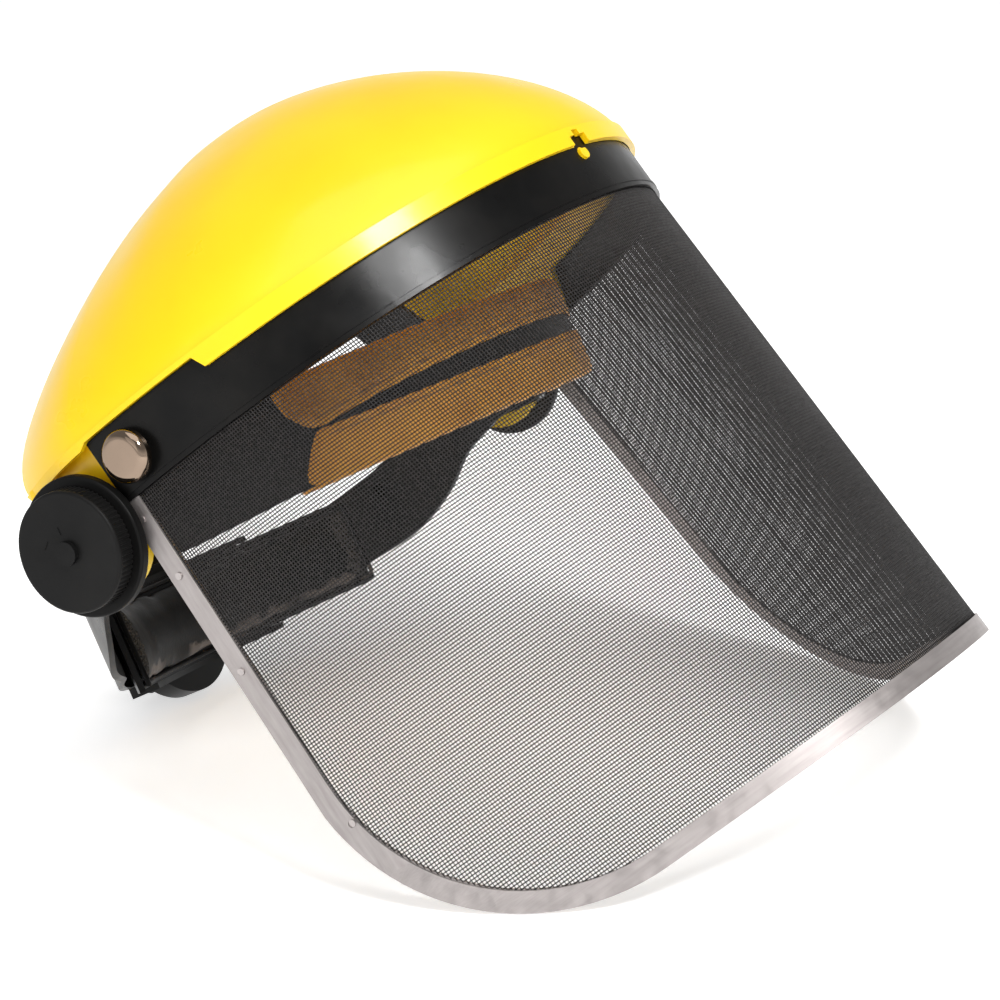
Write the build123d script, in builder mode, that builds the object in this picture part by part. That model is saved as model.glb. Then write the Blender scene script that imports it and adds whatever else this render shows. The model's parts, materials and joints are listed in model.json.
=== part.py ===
"""Face shield: a brow guard with a woven wire screen, hinged on a ratchet headgear.

The visor is drawn upright about the hinge axis (x = side to side, -y = forward, z = up),
the headgear about the same axis in its own upright position, and each finished piece is
then laid down the way the shield lies on a table.
"""
from build123d import *
from math import acos, cos, hypot, pi, radians, sin, sqrt
import os

os.makedirs("parts", exist_ok=True)

# ---------------------------------------------------------------- driving dimensions, mm
LIE = 39.32             # the visor leans back this far on the table, degrees
LIFT = 13.5             # the visor is raised this far against the headgear, degrees
TABLE_SHIFT = (0.0, 68.653, 92.73)   # hinge axis above the table point under the middle

# screen: half plans as curve control points, side edge to middle front
TOP_PLAN = ((124.7, -16.5), (117.8, -86.3), (62.5, -142.6), (0.0, -142.6))
FOOT_PLAN = ((142.1, -23.5), (73.7, -109.5), (65.4, -146.9), (0.0, -146.9))
SCREEN_TOP = 2.0
SCREEN_FOOT = -173.0
SCREEN_TUCK = 7.2       # cloth hidden inside the strip
CORNER_R = 74.0
CLOTH = 0.6             # thickness over the crossing wires
TRIM_W = 6.4
TRIM_HALF = 0.9

# strip that carries the screen
STRIP_TOP = 23.4
STRIP_OUT = 1.5
STRIP_IN = -1.2
STRIP_END = -18.5

# brow guard
DOME_BASE = 23.8
DOME_APEX = (0.0, -47.5, 98.0)
DOME_POWER = 1.6
DOME_REAR = 90.0        # depth of the rim behind the strip's ends
DOME_TUCK = 0.35        # how much faster the rear of the dome narrows with height
RIM_OUT = 3.0
SHELL = 2.2
LIP_OUT = 3.7
LIP_IN = 1.8
LIP_FOOT = 19.0
LIP_START = -62.5
FRONT_FACE = -136.6     # back of the block that carries the front peg
PEG = (-4.0, 16.5)      # front peg, x and z

# hinge
LUG_IN, LUG_OUT, LUG_BOSS = 119.5, 122.2, 127.3
LUG_R = 17.4
BOLT_R = 3.0
RUN = 0.06              # radial running clearance
DISC_R, DISC_IN, DISC_OUT = 21.4, 127.6, 131.3
KNOB_R, KNOB_IN, KNOB_OUT = 18.4, 131.4, 138.0
KNOB_BOSS = 1.5         # height of the round boss in the middle of the knob
SNAP = (-29.4, 12.3)    # snap rivet, y and z
SNAP_R = 8.1

# headgear
BAND_T = 2.2
FRONT_A, FRONT_B, FRONT_Y = 81.8, 61.2, -28.6
FRONT_LOW, FRONT_HIGH = -10.9, 21.0
TAB_X = 116.5
EYE_X = 114.2
CROWN_EYE_X = 112.05
NAPE_A, NAPE_B, NAPE_Y = 88.9, 63.9, 20.0
NAPE_LOW, NAPE_HIGH = -48.0, -18.0
RATCHET_Z = -33.0
RATCHET_R = 25.5
RATCHET_KNOB_R = 21.0
CROWN_W = 24.0

VISOR = Pos(*TABLE_SHIFT) * Rot(-LIE, 0, 0)
GEAR = Pos(*TABLE_SHIFT) * Rot(LIFT - LIE, 0, 0)
SIDES = (("right", -1), ("left", 1))


def write(piece, label, pose):
    """Lay a finished piece down with its group and save it."""
    piece.part = piece.part.moved(pose)
    piece.part.label = label
    export_step(piece.part, f"parts/{label}.step")


# ---------------------------------------------------------------- plan curves
def half_plan(z):
    """Control points of the screen's half plan at one height."""
    k = min(max((SCREEN_TOP - z) / (SCREEN_TOP - SCREEN_FOOT), 0.0), 1.0)
    return [(a[0] + k * (b[0] - a[0]), a[1] + k * (b[1] - a[1])) for a, b in zip(TOP_PLAN, FOOT_PLAN)]


def bezier(points, t):
    w = ((1 - t) ** 3, 3 * t * (1 - t) ** 2, 3 * t * t * (1 - t), t ** 3)
    return (sum(k * p[0] for k, p in zip(w, points)), sum(k * p[1] for k, p in zip(w, points)))


def whole_plan(z, count=12):
    """The screen's plan from the right edge round the front to the left edge."""
    half = [bezier(half_plan(z), i / count) for i in range(count + 1)]
    return [(-x, y) for x, y in half] + half[-2::-1]


def beside(points, gap, closed=False):
    """Points moved outwards, away from the wearer, by a gap."""
    moved = []
    last = len(points) - 1
    for i, (x, y) in enumerate(points):
        a = points[i - 1] if (i or closed) else points[0]
        b = points[(i + 1) % len(points)] if (i < last or closed) else points[last]
        length = hypot(b[0] - a[0], b[1] - a[1])
        moved.append((x + gap * (b[1] - a[1]) / length, y - gap * (b[0] - a[0]) / length))
    return moved


def ribbon(points, inner, outer):
    """A thin band in plan between two offsets of an open curve."""
    far = beside(points, outer)
    near = beside(points, inner)
    with BuildLine() as border:
        Spline(*far)
        Line(far[-1], near[-1])
        Spline(*near[::-1])
        Line(near[0], far[0])
    make_face(border.edges())


def station(z, along):
    """Point of the screen's edge region, a given arc length in from its side edge."""
    points = half_plan(z)
    here, run = bezier(points, 0.0), 0.0
    for i in range(1, 401):
        there = bezier(points, i / 400)
        step = hypot(there[0] - here[0], there[1] - here[1])
        if run + step >= along:
            k = (along - run) / step
            return (here[0] + k * (there[0] - here[0]), here[1] + k * (there[1] - here[1]))
        here, run = there, run + step
    return here


def screen_outline(inset, top):
    """Side view of the screen: straight side, round lower corner, level foot."""
    foot = SCREEN_FOOT + inset
    radius = CORNER_R - inset
    corner = []
    for i in range(9):
        a = pi / 2 * i / 8
        z = foot + radius * (1 - sin(a))
        corner.append((station(z, inset + radius * (1 - cos(a)))[1], z))
    head = (station(SCREEN_TOP, inset)[1], SCREEN_TOP)
    with BuildLine() as border:
        Spline(*corner)
        Polyline(corner[-1], (-220, foot), (-220, top), (head[0], top), head, corner[0])
    make_face(border.edges())


def dome_rim(out, count=14):
    """Closed rim of the brow guard: the strip's curve in front, half an ellipse behind."""
    front = beside(whole_plan(SCREEN_TOP, count), out)
    a, b, y = front[-1][0], DOME_REAR + out - RIM_OUT, front[-1][1]
    rear = [(a * cos(pi * i / 14), y + b * sin(pi * i / 14)) for i in range(1, 14)]
    return front + rear


def dome(out, apex_z):
    """Solid dome whose surface runs from the rim to its highest point."""
    rim = dome_rim(out)
    slices = []
    for turn in (0, 9, 18, 28, 38, 48, 58, 67, 75, 81, 86):
        wide = cos(radians(turn)) ** (2 / DOME_POWER)
        high = sin(radians(turn)) ** (2 / DOME_POWER)
        ring = []
        for x, y in rim:
            rear = min(max((y - DOME_APEX[1]) / 80, 0), 1)
            scale = wide * (1 - DOME_TUCK * rear * (1 - wide))
            ring.append((scale * x, DOME_APEX[1] + scale * (y - DOME_APEX[1])))
        with BuildSketch(Plane.XY.offset(DOME_BASE + high * (apex_z - DOME_BASE))) as level:
            with BuildLine():
                Spline(*ring, periodic=True)
            make_face()
        slices.append(level.sketch)
    loft(slices + [Vertex(0, DOME_APEX[1], apex_z)])


def rim_ring(inner, outer):
    """Flat ring between two offsets of the brow guard's rim."""
    with BuildLine() as border:
        Spline(*dome_rim(outer), periodic=True)
    make_face(border.edges())
    with BuildLine() as border:
        Spline(*dome_rim(inner), periodic=True)
    make_face(border.edges(), mode=Mode.SUBTRACT)


def rivet_spots():
    """Rivets that pin the trim: side, distance out, y and z."""
    for side in (-1, 1):
        for height, along in ((-4.5, 3.2), (-24.5, 3.2), (-58.0, 3.2), (-112.0, 6.4)):
            x, y = station(height, along)
            yield side, x, y, height


def across(side, near, far):
    """Plane facing outwards at one side, and the reach from it."""
    return Plane((side * near, 0, 0), x_dir=(0, 1, 0), z_dir=(1, 0, 0)), side * (far - near)


# ---------------------------------------------------------------- screen, trim and strip
with BuildPart() as mesh_screen:
    for height in (SCREEN_FOOT, SCREEN_TOP):
        with BuildSketch(Plane.XY.offset(height)):
            ribbon(whole_plan(height), -CLOTH / 2, CLOTH / 2)
    loft(ruled=True)
    with BuildSketch(Plane.XY.offset(SCREEN_TOP)):
        ribbon(whole_plan(SCREEN_TOP), -CLOTH / 2, CLOTH / 2)
    extrude(amount=SCREEN_TUCK)
    with BuildSketch(Plane.YZ):
        screen_outline(0.9, SCREEN_TOP + SCREEN_TUCK)
    extrude(amount=200, both=True, mode=Mode.INTERSECT)
    with BuildSketch(Plane.YZ):
        for _, _, y, z in rivet_spots():
            with Locations((y, z)):
                Circle(1.15)
    extrude(amount=200, both=True, mode=Mode.SUBTRACT)
write(mesh_screen, "mesh_screen", VISOR)

with BuildPart() as trim_slot:
    for height in (SCREEN_FOOT, SCREEN_TOP):
        with BuildSketch(Plane.XY.offset(height)):
            ribbon(whole_plan(height), -CLOTH / 2 - 0.03, CLOTH / 2 + 0.03)
    loft(ruled=True)
    with BuildSketch(Plane.YZ):
        screen_outline(0.85, SCREEN_TOP + 1)
    extrude(amount=200, both=True, mode=Mode.INTERSECT)

with BuildPart() as edge_trim:
    for height in (SCREEN_FOOT, SCREEN_TOP - 0.1):
        with BuildSketch(Plane.XY.offset(height)):
            ribbon(whole_plan(height), -TRIM_HALF, TRIM_HALF)
    loft(ruled=True)
    with BuildSketch(Plane.YZ):
        screen_outline(0.1, SCREEN_TOP + 1)
    extrude(amount=200, both=True, mode=Mode.INTERSECT)
    with BuildSketch(Plane.YZ):
        screen_outline(TRIM_W, 40)
    extrude(amount=200, both=True, mode=Mode.SUBTRACT)
    add(trim_slot.part, mode=Mode.SUBTRACT)
    with BuildSketch(Plane.YZ):
        for _, _, y, z in rivet_spots():
            with Locations((y, z)):
                Circle(1.15)
    extrude(amount=200, both=True, mode=Mode.SUBTRACT)
write(edge_trim, "edge_trim", VISOR)

with BuildPart() as trim_rivets:
    for side, x, y, z in rivet_spots():
        wall, reach = across(side, x - 1.5, x + 1.5)
        with BuildSketch(wall):
            with Locations((y, z)):
                Circle(1.1)
        extrude(amount=reach)
write(trim_rivets, "trim_rivets", VISOR)

with BuildPart() as visor_strip:
    with BuildSketch(Plane.XY.offset(SCREEN_TOP)):
        ribbon(whole_plan(SCREEN_TOP), STRIP_IN, STRIP_OUT)
    extrude(amount=STRIP_TOP - SCREEN_TOP)
    with BuildSketch(Plane.XY.offset(SCREEN_TOP + 1.6)):
        ribbon(whole_plan(SCREEN_TOP), 0.5, STRIP_OUT + 0.25)
    extrude(amount=0.8)
    with BuildSketch(Plane.XY.offset(SCREEN_TOP)):
        ribbon(whole_plan(SCREEN_TOP), -CLOTH / 2 - 0.03, CLOTH / 2 + 0.03)
    extrude(amount=SCREEN_TUCK + 0.2, mode=Mode.SUBTRACT)
    with BuildSketch(Plane.XZ):
        with Locations((0, 50 + SCREEN_TOP)):
            Rectangle(300, 100)
    extrude(amount=200, mode=Mode.INTERSECT)
    with BuildSketch(Plane.YZ):
        with BuildLine():
            Polyline((STRIP_END, -5), (STRIP_END, 30), (-220, 30), (-220, -5), close=True)
        make_face()
    extrude(amount=200, both=True, mode=Mode.INTERSECT)
    with BuildSketch(Plane.YZ):
        with Locations(SNAP):
            Circle(2.5)
    extrude(amount=200, both=True, mode=Mode.SUBTRACT)
    with BuildSketch(Plane.XZ.offset(130)):
        with Locations(PEG):
            Circle(2.2)
    extrude(amount=40, mode=Mode.SUBTRACT)
write(visor_strip, "visor_strip", VISOR)

# ---------------------------------------------------------------- brow guard
with BuildPart() as dome_hollow:
    dome(RIM_OUT - SHELL, DOME_APEX[2] - SHELL)

with BuildPart() as inner_wall:
    with BuildSketch(Plane.XY.offset(0)):
        ribbon(whole_plan(SCREEN_TOP), STRIP_IN - 3.1, STRIP_IN - 0.05)
    extrude(amount=25.6)
    with BuildSketch(Plane.XY.offset(DOME_BASE)):
        ribbon(whole_plan(SCREEN_TOP), STRIP_IN - 3.1, RIM_OUT - 0.6)
    extrude(amount=2.0)
    with BuildSketch(Plane.YZ):
        with BuildLine():
            Polyline((-220, 9), (FRONT_FACE, 9), (FRONT_FACE, 17), (-50, 17), (-44, 3.5), (-17, 3.5), (-17, 30),
                     (-220, 30), close=True)
        make_face()
    extrude(amount=200, both=True, mode=Mode.INTERSECT)

with BuildPart() as brow_guard:
    dome(RIM_OUT, DOME_APEX[2])
    add(dome_hollow.part, mode=Mode.SUBTRACT)
    with BuildSketch(Plane.XY.offset(LIP_FOOT)):
        rim_ring(LIP_IN, LIP_OUT)
    extrude(amount=DOME_BASE + 1.4 - LIP_FOOT)
    with BuildSketch(Plane.YZ):
        with BuildLine():
            Polyline((-220, 120), (-220, LIP_FOOT), (LIP_START, LIP_FOOT), (LIP_START + 2, STRIP_TOP + 0.2),
                     (-20, STRIP_TOP + 0.2), (-17, 22.2), (14, 22.2))
            Spline((14, 22.2), (17.0, 28), (17.5, 36), (13.5, 54), (5, 74), (-3, 88), (-10, 102))
            Polyline((-10, 102), (-10, 120), (-220, 120))
        make_face()
    extrude(amount=200, both=True, mode=Mode.INTERSECT)
    add(inner_wall.part)
    for side in (-1, 1):
        wall, reach = across(side, LUG_IN, LUG_OUT)
        with BuildSketch(wall):
            Circle(LUG_R)
            with BuildLine():
                Polyline((-LUG_R, 0), (-22, 9), (-22, 25.2), (12, 25.2), (16, 14), (LUG_R, 0), close=True)
            make_face()
        extrude(amount=reach)
        wall, reach = across(side, LUG_IN, LUG_BOSS)
        with BuildSketch(wall):
            Circle(16.2)
        extrude(amount=reach)
    with BuildSketch(Plane.XZ.offset(-FRONT_FACE)):
        with Locations(PEG):
            Circle(2.15)
    extrude(amount=8.4)
    with BuildSketch(Plane.XZ.offset(-FRONT_FACE - 0.1)):
        with Locations((PEG[0], 18)):
            Rectangle(14, 9)
    extrude(amount=4.4)
    with BuildSketch(Plane.XZ.offset(7.6 - FRONT_FACE)):
        with Locations((PEG[0], LIP_FOOT + 1.0)):
            Rectangle(9, 4.4)
        with Locations((PEG[0], 22)):
            Rectangle(3.4, 4)
    extrude(amount=10, mode=Mode.SUBTRACT)
    with BuildSketch(Plane.YZ):
        Circle(BOLT_R + RUN)
        with Locations(SNAP):
            Circle(2.5)
    extrude(amount=200, both=True, mode=Mode.SUBTRACT)
write(brow_guard, "brow_guard", VISOR)

for name, side in SIDES:
    with BuildPart() as snap_cap:
        wall, reach = across(side, 126.4, 130.4)
        with BuildSketch(wall):
            with Locations(SNAP):
                Circle(SNAP_R)
        extrude(amount=reach)
        rim = snap_cap.edges().filter_by(GeomType.CIRCLE).sort_by(lambda e: side * e.center().X)[-1]
        fillet(rim, 2.8)
    write(snap_cap, f"snap_cap_{name}", VISOR)

    with BuildPart() as snap_post:
        wall, reach = across(side, 116.0, 126.4)
        with BuildSketch(wall):
            with Locations(SNAP):
                Circle(2.45)
        extrude(amount=reach)
        wall, reach = across(side, 116.0, 117.5)
        with BuildSketch(wall):
            with Locations(SNAP):
                Circle(5.0)
        extrude(amount=reach)
    write(snap_post, f"snap_post_{name}", VISOR)

# ---------------------------------------------------------------- hinge hardware
for name, side in SIDES:
    with BuildPart() as pivot_bolt:
        wall, reach = across(side, 108.1, 111.1)
        with BuildSketch(wall):
            RegularPolygon(7.0, 6)
        extrude(amount=reach)
        wall, reach = across(side, 111.1, KNOB_OUT - 1.6)
        with BuildSketch(wall):
            Circle(BOLT_R)
        extrude(amount=reach)
    write(pivot_bolt, f"pivot_bolt_{name}", GEAR)

    with BuildPart() as friction_washer:
        wall, reach = across(side, 117.75, 119.15)
        with BuildSketch(wall):
            Circle(12.0)
            Circle(BOLT_R + 0.05, mode=Mode.SUBTRACT)
        extrude(amount=reach)
    write(friction_washer, f"friction_washer_{name}", GEAR)

    with BuildPart() as pressure_disc:
        wall, reach = across(side, DISC_IN, DISC_OUT)
        with BuildSketch(wall):
            Circle(DISC_R)
        extrude(amount=reach)
        fillet(pressure_disc.edges().filter_by(GeomType.CIRCLE), 0.8)
        with BuildSketch(wall):
            Circle(BOLT_R + 0.05)
        extrude(amount=reach, mode=Mode.SUBTRACT)
    write(pressure_disc, f"pressure_disc_{name}", GEAR)

    with BuildPart() as tension_knob:
        wall, reach = across(side, KNOB_IN, KNOB_OUT)
        with BuildSketch(wall):
            Circle(KNOB_R)
        extrude(amount=reach)
        outer = tension_knob.edges().filter_by(GeomType.CIRCLE).sort_by(lambda e: side * e.center().X)[-1]
        fillet(outer, 0.9)
        wall, reach = across(side, KNOB_IN - 1, KNOB_OUT - 1.3)
        with BuildSketch(wall):
            with PolarLocations(KNOB_R + 0.25, 72):
                Circle(0.62)
        extrude(amount=reach, mode=Mode.SUBTRACT)
        wall, reach = across(side, KNOB_OUT - 0.3, KNOB_OUT + KNOB_BOSS)
        with BuildSketch(wall):
            Circle(3.6)
        extrude(amount=reach)
        wall, reach = across(side, KNOB_OUT - 1, KNOB_OUT + 0.2)
        with BuildSketch(wall):
            with Locations((0, 6.8)):
                Rectangle(0.5, 2.4)
            with Locations(Location((6.6, 4.6), 55)):
                Rectangle(0.5, 2.8)
        extrude(amount=reach)
        wall, reach = across(side, KNOB_IN, KNOB_OUT - 1.3)
        with BuildSketch(wall):
            RegularPolygon(5.6, 6)
        extrude(amount=reach, mode=Mode.SUBTRACT)
    write(tension_knob, f"tension_knob_{name}", GEAR)

    with BuildPart() as knob_insert:
        wall, reach = across(side, KNOB_IN + 0.05, KNOB_OUT - 1.4)
        with BuildSketch(wall):
            RegularPolygon(5.55, 6)
            Circle(BOLT_R + 0.05, mode=Mode.SUBTRACT)
        extrude(amount=reach)
    write(knob_insert, f"knob_insert_{name}", GEAR)

# ---------------------------------------------------------------- headband and sweatband
def front_plan():
    """Centre line of the front band with its side plates, right hinge to left hinge."""
    arc = [radians(-90 + 10 * i) for i in range(7)]
    half = [(FRONT_A * cos(a), FRONT_Y + FRONT_B * sin(a)) for a in arc]
    half += [(80.5, -45.0), (86.3, -38.3), (94.2, -31.8), (103.5, -25.6), (111.0, -20.3),
             (TAB_X - 1.2, -16.2), (TAB_X, -12.5), (TAB_X, -8.0), (TAB_X, 0.0), (TAB_X, 7.0), (TAB_X, 14.0)]
    return [(-x, y) for x, y in half[:0:-1]] + half


def pad_plan(reach):
    """Centre line of the round front part of the band only."""
    arc = [radians(-90 - reach + 2 * reach * i / 22) for i in range(23)]
    return [(FRONT_A * cos(a), FRONT_Y + FRONT_B * sin(a)) for a in arc]


with BuildPart() as headband:
    with BuildSketch(Plane.XY.offset(-20)):
        ribbon(front_plan(), -BAND_T / 2, BAND_T / 2)
    extrude(amount=45)
    with BuildSketch(Plane.YZ):
        with BuildLine():
            Polyline((0, -13), (-22, -13), (-42, FRONT_LOW), (-200, FRONT_LOW), (-200, FRONT_HIGH),
                     (-34, FRONT_HIGH), (-12, 16.5), (0, 13))
            ThreePointArc((0, 13), (13, 0), (0, -13))
        make_face()
    extrude(amount=200, both=True, mode=Mode.INTERSECT)
    with BuildSketch(Plane.YZ):
        Circle(BOLT_R + 0.05)
    extrude(amount=200, both=True, mode=Mode.SUBTRACT)
    with BuildSketch(Plane.XZ):
        for side in (-1, 1):
            with Locations((side * 60, 17.2)):
                Circle(2.1)
    extrude(amount=200, mode=Mode.SUBTRACT)
write(headband, "headband", GEAR)

with BuildPart() as band_space:
    with BuildSketch(Plane.XY.offset(FRONT_LOW - 0.05)):
        ribbon(front_plan(), -BAND_T / 2 - 0.05, BAND_T / 2 + 0.05)
    extrude(amount=FRONT_HIGH - FRONT_LOW + 0.1)

with BuildPart() as lens_gap:
    with BuildSketch(Plane.XY.offset(-10)):
        ribbon(pad_plan(66), BAND_T / 2 - 0.2, BAND_T / 2 + 4)
    extrude(amount=30)
    with BuildSketch(Plane.XZ):
        with BuildLine():
            Spline((-70, 4.6), (-40, 8.0), (0, 9.2), (40, 8.0), (70, 4.6))
            Spline((70, 4.6), (40, 3.6), (0, 3.0), (-40, 3.6), (-70, 4.6))
        make_face()
    extrude(amount=200, mode=Mode.INTERSECT)

with BuildPart() as sweatband:
    with BuildSketch(Plane.XY.offset(FRONT_LOW - 1.2)):
        ribbon(pad_plan(78), -BAND_T / 2 - 6.0, BAND_T / 2 + 1.2)
    extrude(amount=FRONT_HIGH - FRONT_LOW + 2.4)
    with BuildSketch(Plane.YZ):
        with BuildLine():
            Polyline((-43, -30), (-43, FRONT_LOW - 1.2), (-57, 4.5), (-43, FRONT_HIGH + 1.2), (-43, 40),
                     (-200, 40), (-200, -30), close=True)
        make_face()
    extrude(amount=200, both=True, mode=Mode.INTERSECT)
    add(band_space.part, mode=Mode.SUBTRACT)
    add(lens_gap.part, mode=Mode.SUBTRACT)
write(sweatband, "sweatband", GEAR)


# ---------------------------------------------------------------- rear straps and ratchet
def rear_plan(side, inset, over):
    """Centre line of one rear strap from the hinge to its lapped end behind the nape."""
    a, b = NAPE_A - inset, NAPE_B - inset
    half = [(EYE_X, -13.0), (EYE_X, -6.5), (EYE_X, 0.0), (EYE_X, 6.5), (EYE_X - 0.1, 11.0),
            (111.4, 18.5), (104.0, 28.8), (93.2, 40.2)]
    last = acos(-over / a)
    start = radians(29)
    for i in range(13):
        turn = start + (last - start) * i / 12
        half.append((a * cos(turn), NAPE_Y + b * sin(turn)))
    if side > 0:
        return half
    return [(-x, y) for x, y in half[::-1]]


def nape_plan(reach, inset):
    arc = [radians(90 - reach + 2 * reach * i / 18) for i in range(19)]
    return [((NAPE_A - inset) * cos(a), NAPE_Y + (NAPE_B - inset) * sin(a)) for a in arc]


for (name, side), inset in zip(SIDES, (0.0, 2.6)):
    with BuildPart() as rear_strap:
        with BuildSketch(Plane.XY.offset(-60)):
            ribbon(rear_plan(side, inset, 26.0), -BAND_T / 2, BAND_T / 2)
        extrude(amount=90)
        with BuildSketch(Plane.YZ):
            with BuildLine():
                Spline((0, -12.8), (8, -16.0), (18, -20.8), (24, -27.4), (31, -33.8), (39, -38.8),
                       (45, -41.2), (52, -42.7), (66, -45.6), (84, NAPE_LOW + 0.6))
                Polyline((84, NAPE_LOW + 0.6), (110, NAPE_LOW + 0.6), (110, NAPE_HIGH), (70, NAPE_HIGH))
                Spline((70, NAPE_HIGH), (54, -17.2), (48, -15.3), (42, -12.4), (36.5, -7.6), (30, -0.6),
                       (20, 6.6), (10, 11.2), (0, 12.8))
                ThreePointArc((0, 12.8), (-12.8, 0), (0, -12.8))
            make_face()
        extrude(amount=200, both=True, mode=Mode.INTERSECT)
        with BuildSketch(Plane.YZ):
            Circle(BOLT_R + 0.05)
        extrude(amount=200, both=True, mode=Mode.SUBTRACT)
        with BuildSketch(Plane.XZ.offset(-70)):
            with Locations((-side * 2.0, RATCHET_Z)):
                Rectangle(40, 12.4)
            for i in range(12):
                with Locations((-side * 2.0 - 18.0 + 3.2 * i, RATCHET_Z + side * 5.7)):
                    Rectangle(1.4, 1.1, mode=Mode.SUBTRACT)
        extrude(amount=-40, mode=Mode.SUBTRACT)
    write(rear_strap, f"rear_strap_{name}", GEAR)

with BuildPart() as nape_plate:
    with BuildSketch(Plane.XY.offset(NAPE_LOW - 0.6)):
        ribbon(nape_plan(58, 5.1), -1.0, 1.0)
    extrude(amount=NAPE_HIGH - NAPE_LOW + 1.2)
    with BuildSketch(Plane.XZ.offset(-70)):
        with Locations((0, RATCHET_Z)):
            Circle(3.5)
    extrude(amount=-30, mode=Mode.SUBTRACT)
write(nape_plate, "nape_plate", GEAR)

with BuildPart() as ratchet_housing:
    with BuildSketch(Plane.XY.offset(NAPE_LOW - 2.8)):
        ribbon(nape_plan(27, 0), -6.1, 4.2)
    extrude(amount=NAPE_HIGH - NAPE_LOW + 5.6)
    with BuildSketch(Plane.XZ.offset(-84.0)):
        with Locations((0, RATCHET_Z)):
            Circle(RATCHET_R)
    extrude(amount=-8.0)
    with BuildSketch(Plane.XY.offset(NAPE_LOW - 0.7)):
        ribbon(nape_plan(40, 0), -9.0, 1.25)
    extrude(amount=NAPE_HIGH - NAPE_LOW + 1.4, mode=Mode.SUBTRACT)
    with BuildSketch(Plane.XZ.offset(-60)):
        with Locations((0, RATCHET_Z)):
            Circle(3.0 + RUN)
    extrude(amount=-60, mode=Mode.SUBTRACT)
    with BuildSketch(Plane.XZ.offset(-60)):
        with Locations((0, RATCHET_Z)):
            Circle(6.4)
    extrude(amount=-26.6, mode=Mode.SUBTRACT)
write(ratchet_housing, "ratchet_housing", GEAR)

with BuildPart() as ratchet_pinion:
    with BuildSketch(Plane.XZ.offset(-80.6)):
        with Locations((0, RATCHET_Z)):
            Circle(4.9)
            with PolarLocations(4.2, 10):
                Rectangle(1.6, 1.3)
    extrude(amount=-5.7)
    with BuildSketch(Plane.XZ.offset(-80.6)):
        with Locations((0, RATCHET_Z)):
            Circle(3.0)
    extrude(amount=-18.4)
write(ratchet_pinion, "ratchet_pinion", GEAR)

with BuildPart() as ratchet_knob:
    with BuildSketch(Plane.XZ.offset(-92.4)):
        with Locations((0, RATCHET_Z)):
            Circle(RATCHET_KNOB_R)
    extrude(amount=-10.2)
    fillet(ratchet_knob.edges().filter_by(GeomType.CIRCLE).sort_by(Axis.Y)[-1], 1.6)
    with BuildSketch(Plane.XZ.offset(-90)):
        with Locations((0, RATCHET_Z)):
            with PolarLocations(RATCHET_KNOB_R + 0.9, 24):
                Circle(1.9)
    extrude(amount=-20, mode=Mode.SUBTRACT)
    with BuildSketch(Plane.XZ.offset(-92.3)):
        with Locations((0, RATCHET_Z)):
            Circle(16)
            Circle(7, mode=Mode.SUBTRACT)
    extrude(amount=-3.0, mode=Mode.SUBTRACT)
    with BuildSketch(Plane.XZ.offset(-92)):
        with Locations((0, RATCHET_Z)):
            Circle(3.05)
    extrude(amount=-20, mode=Mode.SUBTRACT)
    with BuildSketch(Plane.XZ.offset(-100.8)):
        with Locations((0, RATCHET_Z)):
            Circle(6)
    extrude(amount=-4, mode=Mode.SUBTRACT)
write(ratchet_knob, "ratchet_knob", GEAR)

with BuildPart() as knob_screw:
    with BuildSketch(Plane.XZ.offset(-100.8)):
        with Locations((0, RATCHET_Z)):
            Circle(5.2)
            Rectangle(1.1, 5.4, mode=Mode.SUBTRACT)
            Rectangle(5.4, 1.1, mode=Mode.SUBTRACT)
    extrude(amount=-1.6)
    with BuildSketch(Plane.XZ.offset(-99.1)):
        with Locations((0, RATCHET_Z)):
            Circle(2.9)
    extrude(amount=-2.2)
write(knob_screw, "knob_screw", GEAR)

with BuildPart() as click_spring:
    with BuildSketch(Plane.XZ.offset(-92.05)):
        with Locations((0, RATCHET_Z)):
            Circle(14)
            Circle(11.5, mode=Mode.SUBTRACT)
            with PolarLocations(12.7, 2):
                Circle(2.2)
    extrude(amount=-0.9)
write(click_spring, "click_spring", GEAR)

with BuildPart() as nape_pad:
    with BuildSketch(Plane.XY.offset(NAPE_LOW - 0.6)):
        ribbon(nape_plan(60, 6.2), -8.0, -0.05)
    extrude(amount=NAPE_HIGH - NAPE_LOW + 1.2)
write(nape_pad, "nape_pad", GEAR)


# ---------------------------------------------------------------- crown straps
def crown_line(lift):
    """One crown strap seen from the front, from its hinge eye over the head past the middle."""
    line = [(CROWN_EYE_X, -10.0), (CROWN_EYE_X, -4.0), (CROWN_EYE_X, 2.0), (CROWN_EYE_X - 0.2, 7.5),
            (107.5, 13.0), (96.0, 16.5), (80.5, 22.8), (63.5, 36.0), (46.0, 50.0)]
    return line + [(x, z + lift) for x, z in ((27.0, 62.0), (12.0, 68.0), (0.0, 69.6), (-12.0, 68.0),
                                              (-22.0, 64.4))]


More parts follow.
